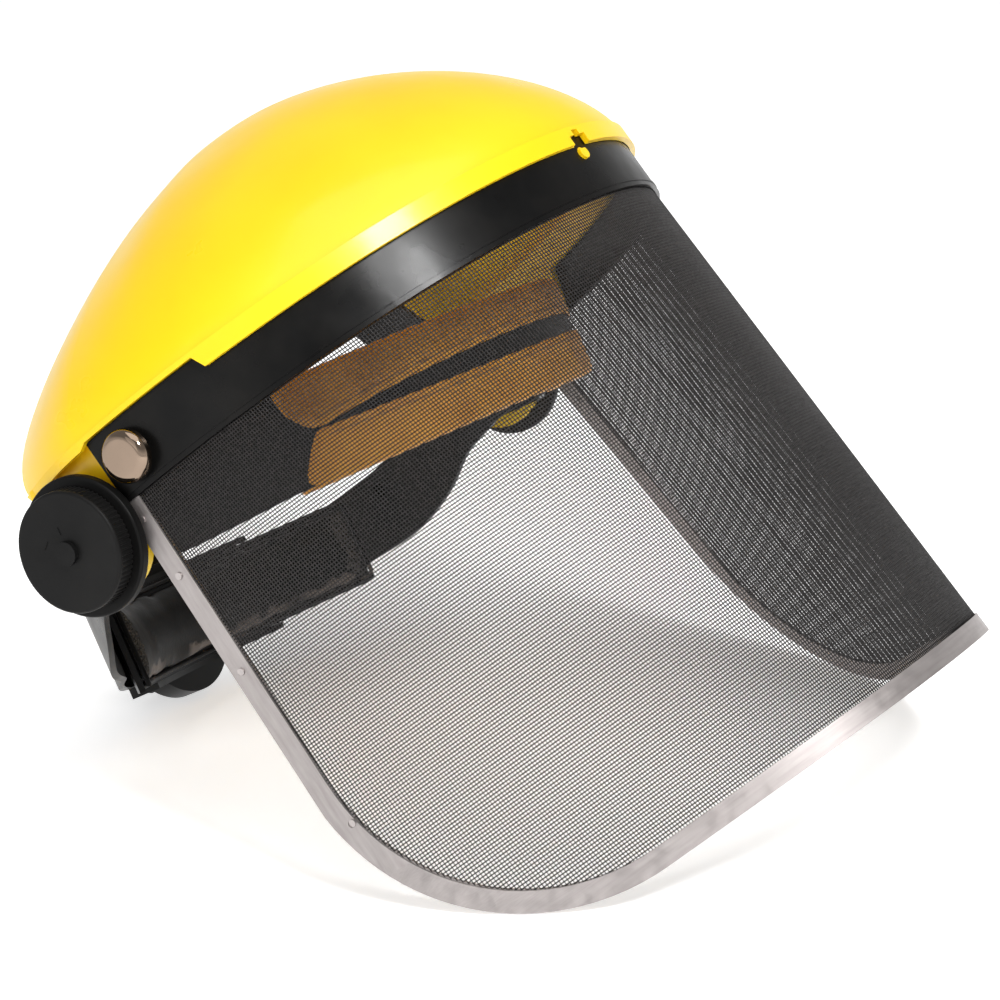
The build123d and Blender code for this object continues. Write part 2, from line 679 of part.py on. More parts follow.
for (name, side), lift in zip(SIDES, (0.0, 2.1)):
    with BuildPart() as crown_strap:
        line = [(side * x, z) for x, z in crown_line(lift)]
        inner = beside(line, -0.85)
        outer = beside(line, 0.85)
        with BuildSketch(Plane.XZ.offset(-CROWN_W / 2)):
            with BuildLine():
                Spline(*outer)
                Line(outer[-1], inner[-1])
                Spline(*inner[::-1])
                Line(inner[0], outer[0])
            make_face()
        extrude(amount=CROWN_W)
        with BuildSketch(Plane.YZ):
            with BuildLine():
                Polyline((-9.5, 0), (-9.5, 7), (-CROWN_W / 2, 15), (-CROWN_W / 2, 90), (CROWN_W / 2, 90),
                         (CROWN_W / 2, 15), (9.5, 7), (9.5, 0))
                ThreePointArc((9.5, 0), (0, -9.5), (-9.5, 0))
            make_face()
        extrude(amount=200, both=True, mode=Mode.INTERSECT)
        wall, reach = across(side, 105.0, 120.0)
        with BuildSketch(wall):
            Circle(BOLT_R + 0.05)
        extrude(amount=reach, mode=Mode.SUBTRACT)
        with BuildSketch(Plane.XY.offset(50)):
            Circle(2.6)
        extrude(amount=30, mode=Mode.SUBTRACT)
    write(crown_strap, f"crown_strap_{name}", GEAR)

with BuildPart() as crown_stud:
    with BuildSketch(Plane.XY.offset(66.3)):
        Circle(4.6)
    extrude(amount=2.0)
    with BuildSketch(Plane.XY.offset(68.3)):
        Circle(2.5)
    extrude(amount=4.5)
    with BuildSketch(Plane.XY.offset(72.7)):
        Circle(4.2)
    extrude(amount=1.6)
write(crown_stud, "crown_stud", GEAR)
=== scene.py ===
"""Looks of the face shield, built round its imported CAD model."""
import json
import math

import bmesh
import bpy
from mathutils import Matrix, Vector, noise


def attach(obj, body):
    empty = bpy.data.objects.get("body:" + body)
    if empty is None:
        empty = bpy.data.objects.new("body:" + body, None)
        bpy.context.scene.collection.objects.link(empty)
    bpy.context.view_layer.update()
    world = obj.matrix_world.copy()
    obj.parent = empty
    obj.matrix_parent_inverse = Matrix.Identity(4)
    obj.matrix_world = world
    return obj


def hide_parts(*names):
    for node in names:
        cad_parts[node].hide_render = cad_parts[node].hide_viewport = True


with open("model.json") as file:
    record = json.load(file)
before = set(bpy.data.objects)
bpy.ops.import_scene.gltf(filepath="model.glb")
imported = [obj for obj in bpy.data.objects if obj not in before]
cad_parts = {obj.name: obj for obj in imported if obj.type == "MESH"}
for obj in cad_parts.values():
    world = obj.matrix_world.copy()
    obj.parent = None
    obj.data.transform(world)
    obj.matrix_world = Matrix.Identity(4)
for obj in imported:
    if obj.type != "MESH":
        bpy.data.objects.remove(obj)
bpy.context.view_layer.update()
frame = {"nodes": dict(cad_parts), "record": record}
scene = bpy.context.scene
nodes = frame["nodes"]

# ------------------------------------------------------------ where the two groups lie, metres
HINGE = Vector((0.0, 0.068653, 0.09273))
VISOR = Matrix.Translation(HINGE) @ Matrix.Rotation(math.radians(-39.32), 4, "X")
GEAR = Matrix.Translation(HINGE) @ Matrix.Rotation(math.radians(-25.82), 4, "X")


# ------------------------------------------------------------ materials
def material(name, color, rough, metal=0.0, coat=0.0, coat_rough=0.1, spec=0.5, sheen=0.0, subsurface=0.0):
    """A material of one Principled shader."""
    mat = bpy.data.materials.new(name)
    mat.use_nodes = True
    shader = mat.node_tree.nodes["Principled BSDF"]
    shader.inputs["Base Color"].default_value = (*color, 1)
    shader.inputs["Roughness"].default_value = rough
    shader.inputs["Metallic"].default_value = metal
    shader.inputs["Coat Weight"].default_value = coat
    shader.inputs["Coat Roughness"].default_value = coat_rough
    shader.inputs["Specular IOR Level"].default_value = spec
    shader.inputs["IOR"].default_value = 1.5
    shader.inputs["Sheen Weight"].default_value = sheen
    shader.inputs["Subsurface Weight"].default_value = subsurface
    if subsurface:
        shader.inputs["Subsurface Radius"].default_value = (0.004, 0.003, 0.001)
    return mat


def add(mat, kind, **inputs):
    """A new shader node with some of its inputs set."""
    node = mat.node_tree.nodes.new("ShaderNode" + kind)
    for key, value in inputs.items():
        node.inputs[key].default_value = value
    return node


def join(mat, source, target):
    """Link two sockets."""
    mat.node_tree.links.new(source, target)


def coordinates(mat):
    """Object coordinates, metres."""
    return add(mat, "TexCoord").outputs["Object"]


def framed_coordinates(mat, group, stretch=(1, 1, 1)):
    """Coordinates in the upright frame of the visor or headgear, metres from the hinge axis."""
    upright = group.inverted()
    turned = add(mat, "Mapping", Rotation=upright.to_euler(), Location=upright.translation)
    join(mat, coordinates(mat), turned.inputs["Vector"])
    stretched = add(mat, "Mapping", Scale=stretch)
    join(mat, turned.outputs["Vector"], stretched.inputs["Vector"])
    return stretched.outputs["Vector"]


def span(mat, source, low, high, to_low=0.0, to_high=1.0):
    """A value mapped from one range to another, held at its ends."""
    node = add(mat, "MapRange")
    node.inputs["From Min"].default_value = low
    node.inputs["From Max"].default_value = high
    node.inputs["To Min"].default_value = to_low
    node.inputs["To Max"].default_value = to_high
    join(mat, source, node.inputs["Value"])
    return node.outputs["Result"]


def height_in(mat, group):
    """Height in the upright frame of the visor or headgear."""
    split = add(mat, "SeparateXYZ")
    join(mat, framed_coordinates(mat, group), split.inputs["Vector"])
    return split.outputs["Z"]


def vary_color(mat, low, high, scale, detail=3.0, vector=None, near=0.35, far=0.65):
    """Base colour that drifts between two tones."""
    tex = add(mat, "TexNoise", Scale=scale, Detail=detail)
    join(mat, vector or coordinates(mat), tex.inputs["Vector"])
    ramp = add(mat, "ValToRGB")
    ramp.color_ramp.elements[0].position = near
    ramp.color_ramp.elements[1].position = far
    ramp.color_ramp.elements[0].color = (*low, 1)
    ramp.color_ramp.elements[1].color = (*high, 1)
    join(mat, tex.outputs["Fac"], ramp.inputs["Fac"])
    join(mat, ramp.outputs["Color"], mat.node_tree.nodes["Principled BSDF"].inputs["Base Color"])


def vary_rough(mat, low, high, scale, detail=4.0):
    """Roughness that drifts between two values."""
    tex = add(mat, "TexNoise", Scale=scale, Detail=detail)
    join(mat, coordinates(mat), tex.inputs["Vector"])
    drift = span(mat, tex.outputs["Fac"], 0.3, 0.7, low, high)
    join(mat, drift, mat.node_tree.nodes["Principled BSDF"].inputs["Roughness"])


def bump(mat, height, strength, distance):
    """Chain one more bump into the shader's normal."""
    shader = mat.node_tree.nodes["Principled BSDF"]
    node = add(mat, "Bump", Strength=strength, Distance=distance)
    join(mat, height, node.inputs["Height"])
    if shader.inputs["Normal"].is_linked:
        join(mat, shader.inputs["Normal"].links[0].from_socket, node.inputs["Normal"])
    join(mat, node.outputs["Normal"], shader.inputs["Normal"])


def noise_bump(mat, scale, strength, distance, detail=3.0, vector=None):
    """Bump from a noise of one scale."""
    tex = add(mat, "TexNoise", Scale=scale, Detail=detail)
    join(mat, vector or coordinates(mat), tex.inputs["Vector"])
    bump(mat, tex.outputs["Fac"], strength, distance)


def guard_yellow():
    """Glossy yellow plastic with a slow unevenness of the moulding."""
    mat = material("guard_yellow", (0.86, 0.55, 0.004), 0.30, coat=0.12, coat_rough=0.12,
                   spec=0.32, subsurface=0.05)
    vary_color(mat, (0.84, 0.53, 0.003), (0.88, 0.585, 0.006), 14.0)
    vary_rough(mat, 0.27, 0.40, 30.0)
    noise_bump(mat, 22.0, 0.12, 0.0012, detail=1.0)
    noise_bump(mat, 900.0, 0.03, 0.0001)
    return mat


def strip_black():
    """Semi-gloss black plastic, smudged."""
    mat = material("strip_black", (0.004, 0.004, 0.004), 0.3, coat=0.06, coat_rough=0.2, spec=0.13)
    vary_color(mat, (0.002, 0.002, 0.002), (0.0055, 0.005, 0.0045), 60.0)
    vary_rough(mat, 0.2, 0.4, 45.0)
    noise_bump(mat, 60.0, 0.10, 0.0005, detail=2.0)
    noise_bump(mat, 1400.0, 0.06, 0.0001)
    return mat


def moulded_black(name, tone=0.008, rough=0.42, grain=1500.0, strength=0.12, spec=0.22):
    """Matt to semi-gloss moulded black plastic with a fine spark-eroded grain."""
    mat = material(name, (tone, tone, tone), rough, spec=spec)
    vary_color(mat, (tone * 0.85,) * 3, (tone * 1.5, tone * 1.45, tone * 1.4), 45.0)
    vary_rough(mat, rough - 0.08, rough + 0.1, 50.0)
    noise_bump(mat, grain, strength, 0.00012)
    return mat


def wire_black():
    """Coated steel wire."""
    mat = material("wire_black", (0.017, 0.0152, 0.015), 0.5, metal=0.1, spec=0.3)
    vary_color(mat, (0.010, 0.009, 0.0088), (0.027, 0.0242, 0.0238), 900.0)
    vary_rough(mat, 0.42, 0.6, 1200.0)
    noise_bump(mat, 4000.0, 0.3, 0.00003)
    return mat


def trim_aluminium(name="trim_aluminium"):
    """Folded aluminium strip, satin, with drawn lines and handling marks."""
    mat = material(name, (0.41, 0.375, 0.367), 0.43, metal=0.9, spec=0.3)
    # the drawn lines run down the sides and along the foot
    blend = add(mat, "MixRGB")
    join(mat, span(mat, height_in(mat, VISOR), -0.130, -0.165), blend.inputs["Fac"])
    join(mat, framed_coordinates(mat, VISOR, (1.0, 1.0, 0.06)), blend.inputs["Color1"])
    join(mat, framed_coordinates(mat, VISOR, (0.06, 0.06, 1.0)), blend.inputs["Color2"])
    drawn = blend.outputs["Color"]
    vary_color(mat, (0.37, 0.335, 0.327), (0.46, 0.425, 0.415), 900.0, detail=6.0, vector=drawn,
               near=0.25, far=0.75)
    vary_rough(mat, 0.36, 0.52, 260.0, detail=6.0)
    noise_bump(mat, 1600.0, 0.2, 0.00008, detail=5.0, vector=drawn)
    noise_bump(mat, 60.0, 0.10, 0.0004)
    return mat


def bare_metal(name, color, rough, scale=500.0, strength=0.15):
    """Plain metal, slightly uneven in tone and shine."""
    mat = material(name, color, rough, metal=1.0)
    # on the chrome cap this drift of tone is part of a painted reflection
    vary_color(mat, tuple(0.82 * c for c in color), color, scale / 4)
    vary_rough(mat, rough * 0.75, rough * 1.3, scale / 3)
    noise_bump(mat, scale, strength, 0.00005)
    return mat


def leatherette(name, low, high, rough, grain, strength, coat=0.1, spec=0.4, crumple=0.25):
    """Imitation leather: a fine cell grain over a slow drift of tone."""
    mat = material(name, low, rough, coat=coat, coat_rough=0.35, sheen=0.05, spec=spec)
    vary_color(mat, low, high, 60.0, detail=6.0)
    vary_rough(mat, rough - 0.08, rough + 0.1, 90.0)
    cells = add(mat, "TexVoronoi", Scale=grain)
    join(mat, coordinates(mat), cells.inputs["Vector"])
    bump(mat, cells.outputs["Distance"], strength, 0.00025)
    noise_bump(mat, 160.0, crumple, 0.0006)
    return mat


def nape_leather():
    """Glossy black imitation leather, worn grey along its lower edge."""
    mat = leatherette("nape_leather", (0.002, 0.002, 0.0022), (0.005, 0.0047, 0.0047), 0.40, 900.0, 0.10,
                      coat=0.0, spec=0.05, crumple=0.03)
    shader = mat.node_tree.nodes["Principled BSDF"]
    where = framed_coordinates(mat, GEAR)
    ragged = add(mat, "TexNoise", Scale=210.0, Detail=5.0)
    join(mat, where, ragged.inputs["Vector"])
    drift = add(mat, "TexNoise", Scale=38.0, Detail=1.0)
    join(mat, where, drift.inputs["Vector"])
    # height above the worn line, made ragged by the noise
    sway = add(mat, "Math")
    sway.operation = "MULTIPLY_ADD"
    sway.inputs[1].default_value = 0.007
    join(mat, ragged.outputs["Fac"], sway.inputs[0])
    join(mat, height_in(mat, GEAR), sway.inputs[2])
    band = add(mat, "ValToRGB")
    band.color_ramp.elements[1].color = (0, 0, 0, 1)
    for place, level in ((0.28, 0.0), (0.33, 1.0), (0.45, 1.0), (0.50, 0.0)):
        stop = band.color_ramp.elements.new(place)
        stop.color = (level, level, level, 1)
    join(mat, span(mat, sway.outputs["Value"], -0.048, -0.030), band.inputs["Fac"])
    worn = add(mat, "Math")
    worn.operation = "MULTIPLY"
    join(mat, band.outputs["Color"], worn.inputs[0])
    join(mat, span(mat, drift.outputs["Fac"], 0.46, 0.54), worn.inputs[1])
    blend = add(mat, "MixRGB", Color2=(0.105, 0.088, 0.078, 1))
    join(mat, worn.outputs["Value"], blend.inputs["Fac"])
    join(mat, shader.inputs["Base Color"].links[0].from_socket, blend.inputs["Color1"])
    join(mat, blend.outputs["Color"], shader.inputs["Base Color"])
    return mat


def open_foam():
    """Dark open-cell foam at the cut ends of the pads."""
    mat = material("open_foam", (0.02, 0.019, 0.017), 0.9, spec=0.15)
    vary_color(mat, (0.010, 0.0095, 0.009), (0.060, 0.056, 0.050), 1500.0, detail=2.0, near=0.42, far=0.6)
    cells = add(mat, "TexVoronoi", Scale=1300.0)
    join(mat, coordinates(mat), cells.inputs["Vector"])
    bump(mat, cells.outputs["Distance"], 0.8, 0.0006)
    noise_bump(mat, 420.0, 0.5, 0.0008)
    return mat


def thread(name, color):
    """Sewing thread."""
    mat = material(name, color, 0.6, spec=0.3, sheen=0.3)
    vary_color(mat, tuple(0.7 * c for c in color), color, 1800.0)
    noise_bump(mat, 3000.0, 0.4, 0.00005)
    return mat


looks = {
    "guard_yellow": guard_yellow(),
    "strip_black": strip_black(),
    "wire_black": wire_black(),
    "trim_aluminium": trim_aluminium(),
    "rivet_aluminium": trim_aluminium("rivet_aluminium"),
    # the chrome cap's warm brown colour and its patchy tone are a painted reflection of a brown room, not
    # the colour of the metal
    "cap_chrome": bare_metal("cap_chrome", (0.30, 0.225, 0.17), 0.10, 150.0, 0.35),
    "post_steel": bare_metal("post_steel", (0.55, 0.55, 0.54), 0.35),
    "bolt_steel": bare_metal("bolt_steel", (0.56, 0.56, 0.55), 0.33),
    "washer_grey": moulded_black("washer_grey", 0.04, 0.5),
    "disc_black": moulded_black("disc_black", 0.003, 0.44, spec=0.1),
    "knob_black": moulded_black("knob_black", 0.005, 0.46, 1100.0, 0.2, spec=0.12),
    "insert_brass": bare_metal("insert_brass", (0.78, 0.58, 0.25), 0.3),
    "harness_black": moulded_black("harness_black", 0.004, 0.32, 1300.0, 0.08, spec=0.16),
    "spring_steel": bare_metal("spring_steel", (0.5, 0.5, 0.5), 0.3),
    "sweat_tan": leatherette("sweat_tan", (0.62, 0.265, 0.018), (0.84, 0.40, 0.038), 0.5, 1100.0, 0.35),
    "pad_black": nape_leather(),
}
foam_look = open_foam()
tan_thread = thread("tan_thread", (0.42, 0.22, 0.05))
for part in frame["record"]["subparts"]:
    mesh = nodes[part["node"]].data
    mesh.materials.clear()
    mesh.materials.append(looks[part["material_slot"]])


# ------------------------------------------------------------ small mesh helpers
def piece(name, mesh, body, slot, look=None):
    """A new object that rides on a body and belongs to a material slot."""
    obj = bpy.data.objects.new(name, mesh)
    scene.collection.objects.link(obj)
    mesh.materials.append(look or looks[slot])
    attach(obj, body)
    return obj


def smooth(mesh):
    """Shade a mesh smooth."""
    mesh.polygons.foreach_set("use_smooth", [True] * len(mesh.polygons))
    mesh.update()


# ------------------------------------------------------------ woven wire screen
# Bezier points of half the screen's plan, from its side edge to its middle
TOP_PLAN = ((0.1247, -0.0165), (0.1178, -0.0863), (0.0625, -0.1426), (0.0, -0.1426))
FOOT_PLAN = ((0.1421, -0.0235), (0.0737, -0.1095), (0.0654, -0.1469), (0.0, -0.1469))
SCREEN_TOP, SCREEN_FOOT = 0.002, -0.173
TUCK = 0.0062                            # height hidden behind the black strip
CORNER_R = 0.074                         # rounded lower corners
TRIM_INSET = 0.0016                      # wires end this far inside the screen's edge
WARP_PITCH, WEFT_PITCH = 0.000953, 0.001014
WIRE_R = 0.0002


def bezier(points, t):
    """Point of a plane cubic Bezier curve."""
    w = ((1 - t) ** 3, 3 * t * (1 - t) ** 2, 3 * t * t * (1 - t), t ** 3)
    return [sum(k * p[i] for k, p in zip(w, points)) for i in range(2)]


def on_screen(t, z):
    """Point of the right half for t in 0..1 and of the left half for t in 1..2."""
    u = t if t <= 1 else 2 - t
    k = min(max((SCREEN_TOP - z) / (SCREEN_TOP - SCREEN_FOOT), 0.0), 1.0)
    a, b = bezier(TOP_PLAN, u), bezier(FOOT_PLAN, u)
    side = -1 if t <= 1 else 1
    return Vector((side * (a[0] + k * (b[0] - a[0])), a[1] + k * (b[1] - a[1]), z))


def arc_table(z, count=400):
    """Cumulative arc length against t along the whole plan at one height."""
    lengths, last, run = [0.0], on_screen(0, z), 0.0
    for i in range(1, count + 1):
        here = on_screen(2 * i / count, z)
        run += (here - last).length
        lengths.append(run)
        last = here
    return lengths


def t_at(lengths, along):
    """Invert an arc table."""
    low, high = 0, len(lengths) - 1
    while high - low > 1:
        mid = (low + high) // 2
        if lengths[mid] <= along:
            low = mid
        else:
            high = mid
    k = (along - lengths[low]) / max(lengths[high] - lengths[low], 1e-9)
    return 2 * (low + k) / (len(lengths) - 1)


def lowest(along, total, inset):
    """Height at which a warp wire ends inside the rounded lower corner."""
    edge = min(along, total - along)
    radius = CORNER_R - inset
    foot = SCREEN_FOOT + inset
    if edge >= CORNER_R:
        return foot
    reach = CORNER_R - edge
    return foot + radius - math.sqrt(max(radius * radius - reach * reach, 0.0))


def outward(t, z):
    """Level direction away from the face at a point of the screen."""
    a, b = on_screen(max(t - 0.01, 0), z), on_screen(min(t + 0.01, 2), z)
    run = (b - a).normalized()
    return Vector((run.y, -run.x, 0)) if run.length else Vector((0, -1, 0))


def add_wire(verts, faces, line, normal_at, radius, sides=4):
    """Append one thin closed wire along a line of points."""
    base = len(verts)
    count = len(line)
    for i, p in enumerate(line):
        a, b = line[max(i - 1, 0)], line[min(i + 1, count - 1)]
        run = (b - a).normalized()
        out = normal_at[i]
        across = run.cross(out).normalized()
        for j in range(sides):
            turn = 2 * math.pi * (j + 0.5) / sides
            verts.append(p + radius * (math.cos(turn) * out + math.sin(turn) * across))
    for i in range(count - 1):
        for j in range(sides):
            k = (j + 1) % sides
            a, b = base + i * sides + j, base + i * sides + k
            faces.append((a, b, b + sides, a + sides))
    faces.append(tuple(base + j for j in reversed(range(sides))))
    faces.append(tuple(base + (count - 1) * sides + j for j in range(sides)))


def screen_wires():
    """Every warp and weft wire of the screen, in one mesh."""
    middle = (SCREEN_TOP + SCREEN_FOOT) / 2
    table_mid = arc_table(middle)
    total = table_mid[-1]
    inset = TRIM_INSET
    verts, faces = [], []
    count = int((total - 2 * inset) / WARP_PITCH)
    for i in range(count + 1):
        along = inset + (total - 2 * inset) * i / count
        t = t_at(table_mid, along)
        z = lowest(along, total, inset)
        heights = [SCREEN_TOP + TUCK, SCREEN_TOP, (SCREEN_TOP + z) / 2, z]
        normals = [outward(t, h) for h in heights]
        add_wire(verts, faces, [on_screen(t, h) for h in heights], normals, WIRE_R)
    rows = int((SCREEN_TOP + TUCK - SCREEN_FOOT - inset) / WEFT_PITCH)
    for j in range(rows):
        z = SCREEN_TOP + TUCK - WEFT_PITCH * (j + 0.5)
        table_here = arc_table(z, 160)
        length = table_here[-1]
        start = inset
        if z < SCREEN_FOOT + CORNER_R:
            radius = CORNER_R - inset
            drop = SCREEN_FOOT + CORNER_R - z
            start = CORNER_R - math.sqrt(max(radius * radius - drop * drop, 0.0))
        line, normals = [], []
        for k in range(61):
            t = t_at(table_here, start + (length - 2 * start) * k / 60)
            n = outward(t, z)
            line.append(on_screen(t, z))
            normals.append(n)
        add_wire(verts, faces, line, normals, WIRE_R, sides=3)
    mesh = bpy.data.meshes.new("wire_cloth")
    mesh.from_pydata([VISOR @ v for v in verts], [], faces)
    mesh.update()
    smooth(mesh)
    return mesh


wire = piece("wire_cloth", screen_wires(), "visor", "wire_black")
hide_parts("mesh_screen")


# ------------------------------------------------------------ sweatband
# the front band is half an ellipse: its half axes, its centre and its two edges
FRONT_A, FRONT_B, FRONT_Y = 0.0818, 0.0612, -0.0286
FRONT_LOW, FRONT_HIGH = -0.0109, 0.0210
LENS_Z = 0.0046                          # height at which the two flaps meet


def band_point(angle, gap, z):
    """Point beside the front band at an angle from straight ahead."""
    x, y = FRONT_A * math.sin(angle), FRONT_Y - FRONT_B * math.cos(angle)
    nx, ny = math.sin(angle) / FRONT_A, -math.cos(angle) / FRONT_B
    size = math.hypot(nx, ny)
    return Vector((x + gap * nx / size, y + gap * ny / size, z))


def sweat_section(lens_low, lens_high):
    """Outline of the wrapped band: outer flap, under the edge, inner cushion, over the edge."""
    low, high = FRONT_LOW - 0.00115, FRONT_HIGH + 0.00115
    out, mid = 0.00235, (low + high) / 2
    line = [(out - 0.0002, lens_low), (out + 0.0001, lens_low - 0.0012), (out, lens_low - 0.004),
            (out, low + 0.004), (out - 0.0003, low + 0.0012),
            (0.0008, low), (-0.0012, low), (-0.0038, low + 0.0009), (-0.0058, low + 0.004),
            (-0.0068, low + 0.009), (-0.0070, mid), (-0.0068, high - 0.009), (-0.0058, high - 0.004),
            (-0.0038, high - 0.0009), (-0.0012, high), (0.0008, high), (out - 0.0003, high - 0.0012),
            (out, high - 0.004), (out, lens_high + 0.004), (out + 0.0001, lens_high + 0.0012),
            (out - 0.0002, lens_high)]
    inner = [(0.00125, lens_high), (0.00125, high - 0.0013), (-0.00125, high - 0.0013),
             (-0.00125, low + 0.0013), (0.00125, low + 0.0013), (0.00125, lens_low)]
    return line + inner


def lens_edges(u):
    """Heights of the two flap edges at a place along the band, -1 to 1."""
    opening = max(1 - (abs(u) / 0.97) ** 2.2, 0.0)
    return LENS_Z - 0.0014 * opening - 0.0002, LENS_Z + 0.0046 * opening + 0.0002


def flap_reach(z):
    """Angle at which the wrap ends: the flaps are cut back to a notch at the lens."""
    if z > LENS_Z:
        return math.radians(63.0 + 16.5 * min((z - LENS_Z) / 0.013, 1.0))
    return math.radians(63.0 + 14.0 * min((LENS_Z - z) / 0.0165, 1.0))


def sweatband():
    """The wrapped band with the lens-shaped gap between its two flaps."""
    stations = 120
    verts, faces = [], []
    per = len(sweat_section(0.0, 0.01))
    for i in range(stations + 1):
        u = -1 + 2 * i / stations
        for gap, z in sweat_section(*lens_edges(u)):
            angle = u * flap_reach(z)
            p = band_point(angle, gap, z)
            if gap > 0.0018 or gap < -0.003:
                outward_here = (p - band_point(angle, 0, z)).normalized()
                ripple = noise.noise(Vector((u * 16, z * 160, gap * 90 + 3)))
                crease = noise.noise(Vector((u * 60, z * 40, 7.0)))
                p += outward_here * (0.00034 * ripple + 0.00012 * crease)
            verts.append(p)
    for i in range(stations):
        for j in range(per):
            k = (j + 1) % per
            a, b = i * per + j, i * per + k
            faces.append((a, b, b + per, a + per))
    faces.append(tuple(reversed(range(per))))
    faces.append(tuple(stations * per + j for j in range(per)))
    mesh = bpy.data.meshes.new("sweatband_wrap")
    mesh.from_pydata([GEAR @ v for v in verts], [], faces)
    mesh.update()
    smooth(mesh)
    return mesh


wrap = piece("sweatband_wrap", sweatband(), "headgear", "sweat_tan")
wrap.modifiers.new("round", "SUBSURF").render_levels = 1
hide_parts("sweatband")


def stitches(name, points, facing, body, slot, look, length=0.0021, radius=0.00022):
    """A row of raised stitches along a line: one short rounded thread for every second point."""
    verts, faces = [], []
    ring, sides = ((-0.5, 0.35), (-0.3, 1.0), (0.3, 1.0), (0.5, 0.35)), 6
    for n in range(len(points) - 1):
        middle = (points[n] + points[n + 1]) / 2
        run = (points[n + 1] - points[n]).normalized()
        out = facing[n]
        side = run.cross(out).normalized()
        base = len(verts)
        for along, thick in ring:
            for j in range(sides):
                turn = 2 * math.pi * j / sides
                verts.append(middle + run * along * length
                             + radius * thick * (math.cos(turn) * out + math.sin(turn) * side))
        for i in range(len(ring) - 1):
            for j in range(sides):
                k = (j + 1) % sides
                a, b = base + i * sides + j, base + i * sides + k
                faces.append((a, b, b + sides, a + sides))
        faces.append(tuple(base + j for j in reversed(range(sides))))
        faces.append(tuple(base + (len(ring) - 1) * sides + j for j in range(sides)))
    mesh = bpy.data.meshes.new(name)
    mesh.from_pydata([GEAR @ v for v in verts], [], faces)
    mesh.update()
    smooth(mesh)
    return piece(name, mesh, body, slot, look)


def flap_seam(edge):
    """Stitch line just inside one flap edge, with its outward directions."""
    points, facing = [], []
    for i in range(93):
        u = -0.96 + 1.92 * i / 92
        low, high = lens_edges(u)
        z = low - 0.0026 if edge == "low" else high + 0.0026
        angle = u * flap_reach(z)
        points.append(band_point(angle, 0.00246, z))
        facing.append((points[-1] - band_point(angle, 0, z)).normalized())
    return points, facing


for edge in ("low", "high"):
    stitches(f"sweatband_stitches_{edge}", *flap_seam(edge), "headgear", "sweat_tan", tan_thread)


# ------------------------------------------------------------ nape pad
# the nape band is half an ellipse too
NAPE_A, NAPE_B, NAPE_Y = 0.0889, 0.0639, 0.020
NAPE_LOW, NAPE_HIGH = -0.0480, -0.0180
NAPE_REACH = math.radians(59.0)          # half the pad's length, as an angle
PAD_BACK = 0.0066                        # inset of the pad's back from the nape band
WELT_R = 0.0009


def nape_point(angle, inset, z):
    """Point inside the nape band at an angle from straight behind."""
    a, b = NAPE_A - inset, NAPE_B - inset
    return Vector((a * math.sin(angle), NAPE_Y + b * math.cos(angle), z))


def nape_inset(p):
    """How far a point lies inside the nape band, about."""
    return NAPE_A - math.hypot(p.x, (p.y - NAPE_Y) * NAPE_A / NAPE_B)


def nape_blank():
    """Slim closed blank of the pad, before it is filled."""
    stations, rows = 72, 14
    verts, faces = [], []
    top, low = NAPE_HIGH - 0.0002, NAPE_LOW + 0.0002
    for layer in range(2):
        for i in range(stations + 1):
            u = -1 + 2 * i / stations
            for j in range(rows + 1):
                v = -1 + 2 * j / rows
                edge = (max(1 - abs(u) ** 8, 0.0) * max(1 - abs(v) ** 3.2, 0.0)) ** 0.55
                z = (top + low) / 2 + v * (top - low) / 2
                inset = PAD_BACK + (0.0022 + 0.0036 * edge if layer else 0.0)
                verts.append(GEAR @ nape_point(u * NAPE_REACH, inset, z))
    per = rows + 1
    size = (stations + 1) * per
    for i in range(stations):
        for j in range(rows):
            a = i * per + j
            faces.append((a, a + per, a + per + 1, a + 1))
            b = a + size
            faces.append((b, b + 1, b + per + 1, b + per))
    rim = [i * per for i in range(stations + 1)] + [stations * per + j for j in range(1, rows + 1)]
    rim += [i * per + rows for i in range(stations - 1, -1, -1)] + [j for j in range(rows - 1, 0, -1)]
    for n, a in enumerate(rim):
        b = rim[(n + 1) % len(rim)]
        faces.append((b, a, a + size, b + size))
    mesh = bpy.data.meshes.new("nape_cushion")
    mesh.from_pydata(verts, [], faces)
    mesh.update()
    bm = bmesh.new()
    bm.from_mesh(mesh)
    bmesh.ops.recalc_face_normals(bm, faces=bm.faces)
    bm.to_mesh(mesh)
    bm.free()
    return mesh


def evaluated(obj):
    """Copy of an object's mesh with its modifiers applied."""
    return bpy.data.meshes.new_from_object(obj.evaluated_get(bpy.context.evaluated_depsgraph_get()))


